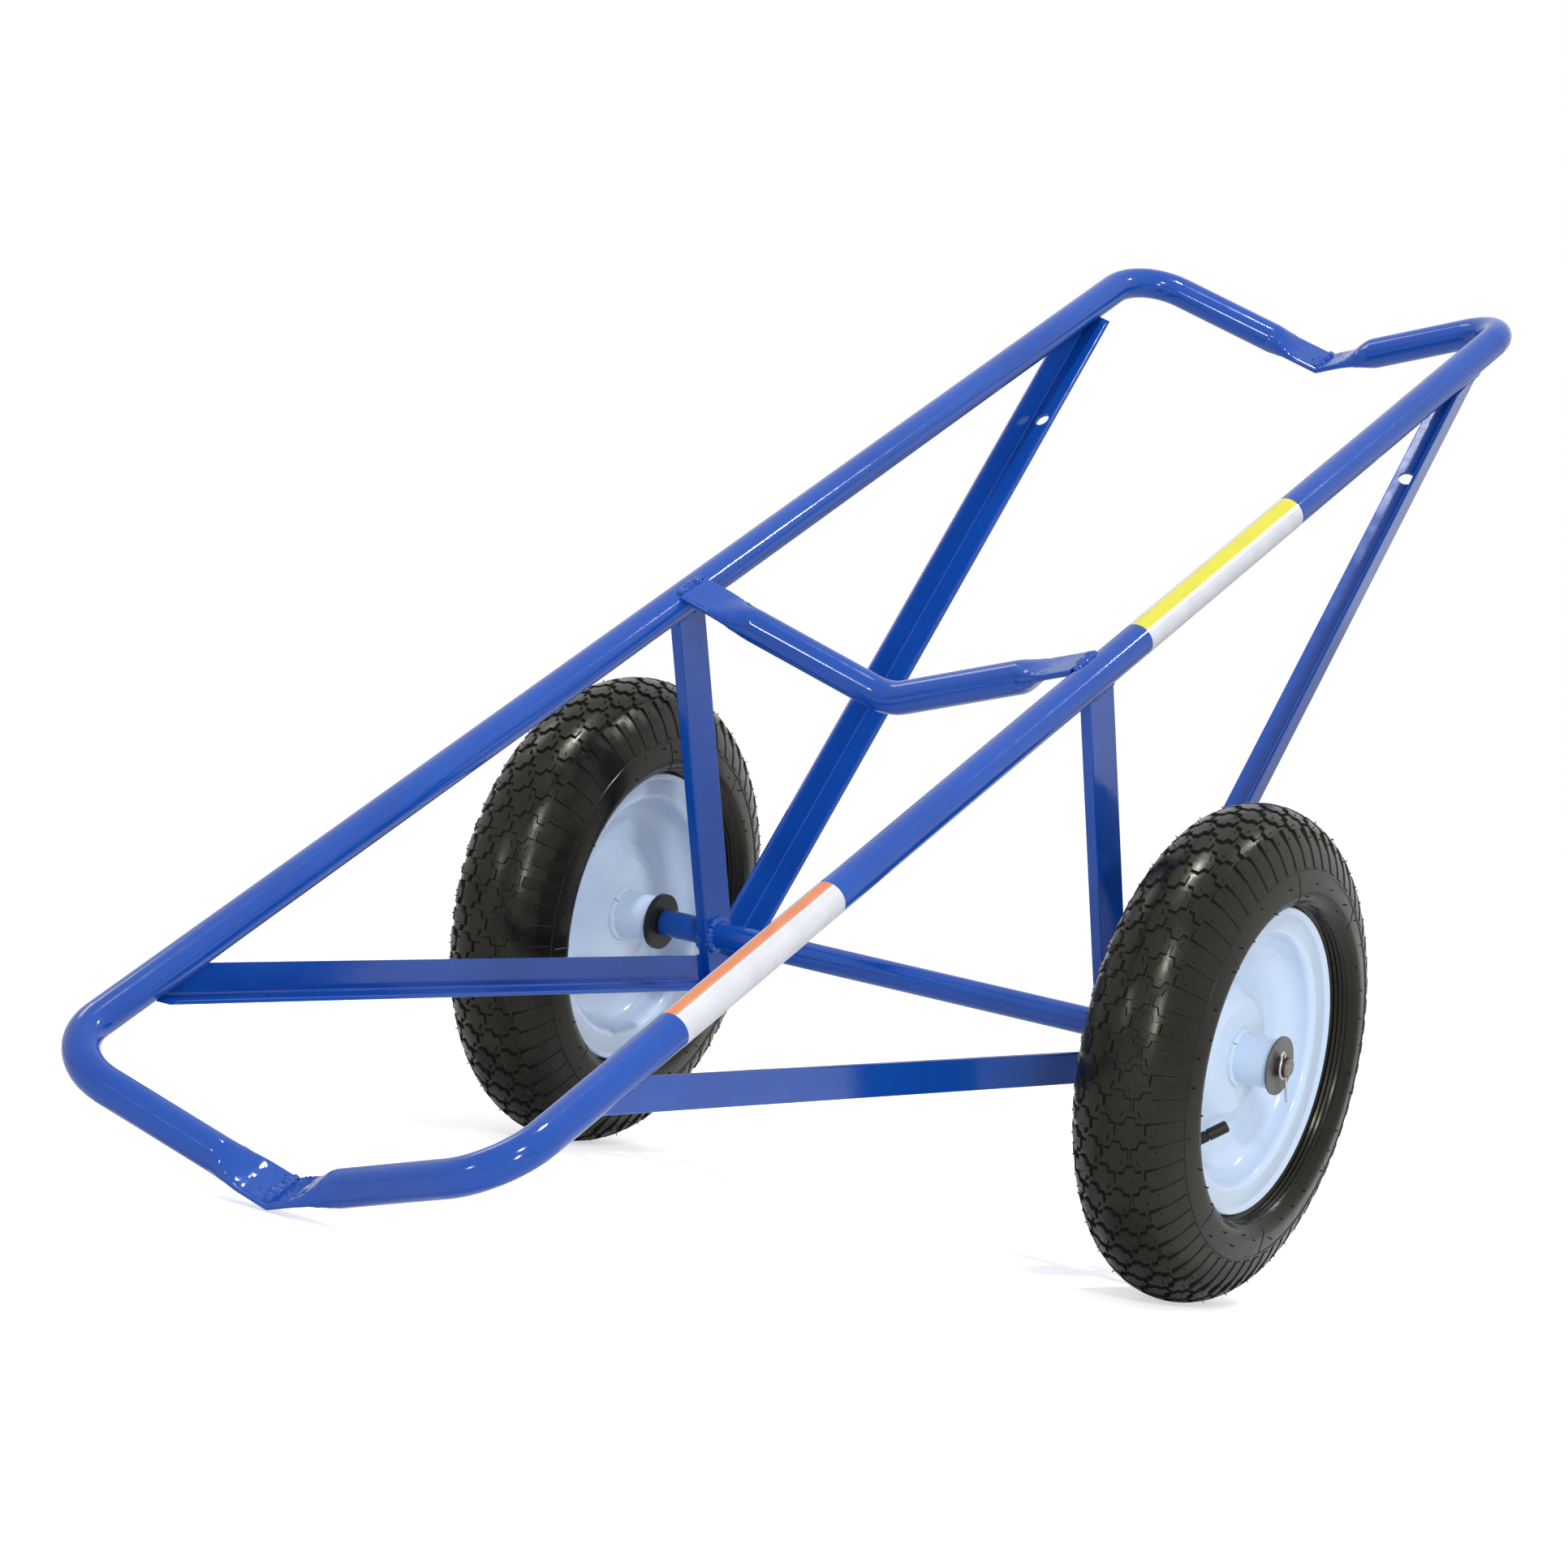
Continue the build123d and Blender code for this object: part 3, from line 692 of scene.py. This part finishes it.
def weld_bead(name, runs, radius, body="frame", material=weld_paint, closed=False,
              lump=0.10, spatter=()):
    """Beads along lines of points, as one piece; lump is the uneven share of their radius."""
    verts = []
    faces = []
    for at, size in spatter:
        spatter_drop(verts, faces, at, size)
    for points in runs:
        lengths = [0.0]
        for a, b in zip(points, points[1:]):
            lengths.append(lengths[-1] + (b - a).length)
        total = lengths[-1]
        steps = max(bead_least_steps, int(total / bead_step))
        waves = max(bead_least_waves, round(total / bead_ripple))
        lumps = [rng.uniform(-lump, lump) for _ in range(waves + 1)]
        leans = [rng.uniform(-bead_lean, bead_lean) for _ in range(waves + 1)]
        if closed:
            lumps[-1], leans[-1] = lumps[0], leans[0]
        rings = []
        for n in range(steps if closed else steps + 1):
            s = total * n / steps
            k = max(i for i in range(len(points) - 1) if lengths[i] <= s + length_slip)
            at = points[k].lerp(points[k + 1], (s - lengths[k]) / max(tiny, lengths[k + 1] - lengths[k]))
            way = (points[k + 1] - points[k]).normalized()
            up = Vector((0, 0, 1)) if abs(way.z) < steep_way else Vector((1, 0, 0))
            across = way.cross(up).normalized()
            up = across.cross(way)
            wave = min(waves - 1, int(s * waves / total))
            phase = s * waves / total - wave
            ease = phase * phase * (3 - 2 * phase)
            lean = leans[wave] + (leans[wave + 1] - leans[wave]) * ease
            at = at + across * radius * lean
            swell = bead_swell * (1 - phase) * phase * 4
            grow = bead_valley + swell + lumps[wave] + (lumps[wave + 1] - lumps[wave]) * ease
            if not closed:
                from_end = min(s, total - s) / (2 * radius)
                grow *= min(1.0, bead_tip + (1 - bead_tip) * sqrt(from_end + tiny))
            rings.append(len(verts))
            for j in range(bead_sides):
                turn = 2 * pi * j / bead_sides
                wobble = grow * (1 + rng.uniform(-bead_wobble, bead_wobble))
                verts.append(tuple(at + (across * cos(turn) + up * sin(turn)) * radius * wobble))
        pairs = list(zip(rings, rings[1:]))
        if closed:
            pairs.append((rings[-1], rings[0]))
        for a, b in pairs:
            for j in range(bead_sides):
                k = (j + 1) % bead_sides
                faces.append((a + j, a + k, b + k, b + j))
        if not closed:
            faces.append(tuple(reversed(range(rings[0], rings[0] + bead_sides))))
            faces.append(tuple(range(rings[-1], rings[-1] + bead_sides)))
    make_piece(name, verts, faces, material, body, crease=bead_crease)


def line(a, b):
    """A straight run between two points of the level stance."""
    return [world(*Vector(end)) for end in (a, b)]


def circle(y, radius, count=48):
    """A run round the axle."""
    turns = [2 * pi * i / count for i in range(count + 1)]
    return [world(radius * cos(turn), y, radius * sin(turn)) for turn in turns]


for end, x in (("nose", -nose_reach), ("tail", tail_reach)):
    top_z = apex_z + flat_top
    under_z = apex_z - flat_top + v_under_sink
    runs = [line((x - v_weld_half, 0, top_z), (x + v_weld_half, 0, top_z)),
            line((x + v_under_run[0], 0, under_z), (x + v_under_run[1], 0, under_z))]
    spatter = []
    for _ in range(spatter_count):
        y = rng.choice((-1, 1)) * rng.uniform(*spatter_aside)
        drop_x = x + rng.uniform(-spatter_along, spatter_along)
        drop = world(drop_x, y, top_z + abs(y) * v_drop / half_gauge)
        spatter.append((drop, rng.uniform(*spatter_radii)))
    weld_bead(f"{end}_v_weld", runs, heavy_bead, lump=0.26, spatter=spatter)

for name, side in sides.items():
    seat_y = side * (half_gauge - sqrt(tube_r ** 2 - cross_seat ** 2))
    runs = []
    for reach, out, lift in cross_runs:
        y, z = seat_y + side * out, rail_height + cross_seat + lift
        runs.append(line((cross_x - reach, y, z), (cross_x + reach, y, z)))
    weld_bead(f"{name}_cross_tube_weld", runs, heavy_bead, lump=0.2)

    z = rail_height - sqrt(tube_r ** 2 - post_half_thickness ** 2)
    runs = []
    for face in (-1, 1):
        y = side * half_gauge + face * post_half_thickness
        runs.append(line((post_rail_x - post_weld_half, y, z), (post_rail_x + post_weld_half, y, z)))
    weld_bead(f"{name}_post_top_weld", runs, post_bead)

    runs = []
    for face in (-1, 1):
        y = side * half_gauge + face * (post_half_thickness + axle_weld_out)
        runs.append(circle(y, axle_tube_r + axle_weld_rise))
    weld_bead(f"{name}_axle_tube_weld", runs, heavy_bead, closed=True, lump=0.26)

    y = side * (half_gauge + post_half_thickness)
    runs = [line((x, y, low), (x, y, high)) for x, low, high in foot_runs]
    weld_bead(f"{name}_brace_foot_weld", runs, foot_bead, lump=0.24)

    y, z = side * (half_gauge + brace_side), rail_height - sqrt(tube_r ** 2 - brace_side ** 2)
    runs = [line((start, y, z), (stop, y, z)) for start, stop in brace_top_runs]
    weld_bead(f"{name}_brace_top_weld", runs, brace_bead, lump=0.14)

    runs = []
    for face in (-1, 1):
        runs.append(circle(side * (half_track + face * hub_weld_out), hub_r + hub_weld_rise, hub_weld_points))
    weld_bead(f"{name}_hub_weld", runs, hub_bead, f"{name}_wheel", rim_weld_paint, closed=True,
              lump=0.14)

# Blank vinyl bands wrapped round the left rail, each with one plain coloured stripe along its top.
# Angles run from the rail's top towards its outer side, in degrees.
band_skin = 0.15
band_root = 0.3
band_wrap = (-28, 160)
band_turn_step = 5
band_length_steps = 20


def rail_band(name, start, end, stripe, colour):
    """A closed thin shell round the rail, from one place along it to another."""
    marks = [band_wrap[0], *stripe, band_wrap[1]]
    turns = []
    for a, b in zip(marks, marks[1:]):
        steps = int((b - a) / band_turn_step) + 1
        turns += [a + (b - a) * i / steps for i in range(steps)]
    turns.append(band_wrap[1])
    places = [start + (end - start) * i / band_length_steps for i in range(band_length_steps + 1)]
    verts = []
    for r in (tube_r + band_skin, tube_r - band_root):
        for x in places:
            for turn in turns:
                y = -half_gauge - r * sin(radians(turn))
                verts.append(tuple(world(x, y, rail_height + r * cos(radians(turn)))))
    across = len(turns)
    layer = across * len(places)
    faces = []
    in_stripe = []

    def quad(a, b, c, d, turn):
        faces.append((a, b, c, d))
        in_stripe.append(1 if stripe[0] <= turn < stripe[1] else 0)

    for i in range(band_length_steps):
        for j in range(across - 1):
            a = i * across + j
            quad(a, a + 1, a + across + 1, a + across, turns[j])
            quad(layer + a, layer + a + across, layer + a + across + 1, layer + a + 1, turns[j])
    for j in range(across - 1):
        quad(j, layer + j, layer + j + 1, j + 1, turns[j])
        a = band_length_steps * across + j
        quad(a, a + 1, layer + a + 1, layer + a, turns[j])
    for i in range(band_length_steps):
        a = i * across
        quad(a, a + across, layer + a + across, layer + a, turns[0])
        a += across - 1
        quad(a, layer + a, layer + a + across, a + across, turns[-1])
    piece = make_piece(name, verts, faces, white_vinyl, "frame")
    add_second_material(piece, colour, in_stripe)


rail_band("left_rail_front_band", start=-588, end=-384, stripe=(-22, 20), colour=orange_vinyl)
rail_band("left_rail_rear_band", start=78, end=339, stripe=(-18, 40), colour=yellow_vinyl)

# Carried over pieces take the detailed finishes
for node_name, node_object in nodes.items():
    plain = [material.name for material in node_object.data.materials if material]
    finish = node_materials.get(node_name)
    for slot_name, slot_material in slot_materials.items():
        if not finish and any(slot_name in plain_name for plain_name in plain):
            finish = slot_material
    if finish:
        for material_slot in node_object.material_slots:
            material_slot.link = "OBJECT"
            material_slot.material = finish

# Floor and white backdrop
white = (1, 1, 1, 1)
floor_half = 30
floor_tone = (0.9, 0.9, 0.9, 1)
floor_glow = 0.55
room_light = 0.55


def empty_tree(owner):
    """The node tree of a material or world, cleared."""
    owner.use_nodes = True
    owner.node_tree.nodes.clear()
    return owner.node_tree


corners = [(x * floor_half, y * floor_half, 0) for x, y in ((-1, -1), (1, -1), (1, 1), (-1, 1))]
floor_mesh = bpy.data.meshes.new("floor")
floor_mesh.from_pydata(corners, [], [(0, 1, 2, 3)])
floor = bpy.data.objects.new("floor", floor_mesh)
scene.collection.objects.link(floor)
floor_material = bpy.data.materials.new("floor")
floor_mesh.materials.append(floor_material)
tree = empty_tree(floor_material)
output = tree.nodes.new("ShaderNodeOutputMaterial")
both = tree.nodes.new("ShaderNodeAddShader")
matte = tree.nodes.new("ShaderNodeBsdfDiffuse")
glow = tree.nodes.new("ShaderNodeEmission")
path = tree.nodes.new("ShaderNodeLightPath")
share = tree.nodes.new("ShaderNodeMath")
share.operation = "MULTIPLY"
share.inputs[1].default_value = floor_glow
matte.inputs["Color"].default_value = floor_tone
glow.inputs["Color"].default_value = white
tree.links.new(path.outputs["Is Camera Ray"], share.inputs[0])
tree.links.new(share.outputs[0], glow.inputs["Strength"])
tree.links.new(matte.outputs["BSDF"], both.inputs[0])
tree.links.new(glow.outputs["Emission"], both.inputs[1])
tree.links.new(both.outputs["Shader"], output.inputs["Surface"])

backdrop = bpy.data.worlds.new("studio")
scene.world = backdrop
tree = empty_tree(backdrop)
output = tree.nodes.new("ShaderNodeOutputWorld")
choice = tree.nodes.new("ShaderNodeMixShader")
path = tree.nodes.new("ShaderNodeLightPath")
seen = path.outputs["Is Camera Ray"]
for ray in ("Is Glossy Ray", "Is Transmission Ray"):
    either = tree.nodes.new("ShaderNodeMath")
    either.operation = "MAXIMUM"
    tree.links.new(seen, either.inputs[0])
    tree.links.new(path.outputs[ray], either.inputs[1])
    seen = either.outputs[0]
tree.links.new(seen, choice.inputs["Fac"])
for socket, strength in ((1, room_light), (2, 1.0)):
    background = tree.nodes.new("ShaderNodeBackground")
    background.inputs["Color"].default_value = white
    background.inputs["Strength"].default_value = strength
    tree.links.new(background.outputs["Background"], choice.inputs[socket])
tree.links.new(choice.outputs["Shader"], output.inputs["Surface"])


# Lamps, in metres and watts
def softbox(name, place, size, power, aim=(0, 0, 0.4)):
    lamp = bpy.data.lights.new(name, "AREA")
    lamp.shape = "RECTANGLE"
    lamp.size, lamp.size_y = size
    lamp.energy = power
    holder = bpy.data.objects.new(name, lamp)
    scene.collection.objects.link(holder)
    holder.location = place
    holder.rotation_euler = (Vector(aim) - Vector(place)).to_track_quat("-Z", "Y").to_euler()


softbox("top_light", place=(-0.55, -0.15, 3.2), size=(0.14, 0.14), power=40, aim=(0, 0, 0.3))
softbox("key_light", place=(-2.3, -1.9, 2.0), size=(0.3, 0.3), power=26)
softbox("low_light", place=(-2.3, -2.6, 0.75), size=(0.3, 0.45), power=24)
softbox("fill_light", place=(-3.34, 0.55, 1.0), size=(0.18, 0.18), power=9)
softbox("rear_light", place=(1.27, -1.36, 2.7), size=(0.14, 0.14), power=10)
softbox("far_light", place=(0.0, 2.35, 2.5), size=(0.7, 0.7), power=7)

# Camera: a long lens in front of the nose on the left side, rolled as the photograph was turned
camera_place = Vector((-3.4228, -1.8503, 0.4117))
camera_right = Vector((0.49784, -0.84462, 0.19690))
camera_forward = Vector((0.86328, 0.50434, -0.01930))
camera_up = camera_right.cross(camera_forward).normalized()
camera_data = bpy.data.cameras.new("camera")
camera_data.sensor_fit = "HORIZONTAL"
camera_data.sensor_width = 36.0
camera_data.lens = 109.06
camera_data.clip_end = 100.0
camera = bpy.data.objects.new("camera", camera_data)
scene.collection.objects.link(camera)
columns = (camera_right, camera_up, -camera_forward, camera_place)
camera.matrix_world = Matrix([[column[i] for column in columns] for i in range(3)] + [[0, 0, 0, 1]])
scene.camera = camera
scene.view_settings.view_transform = "Standard"
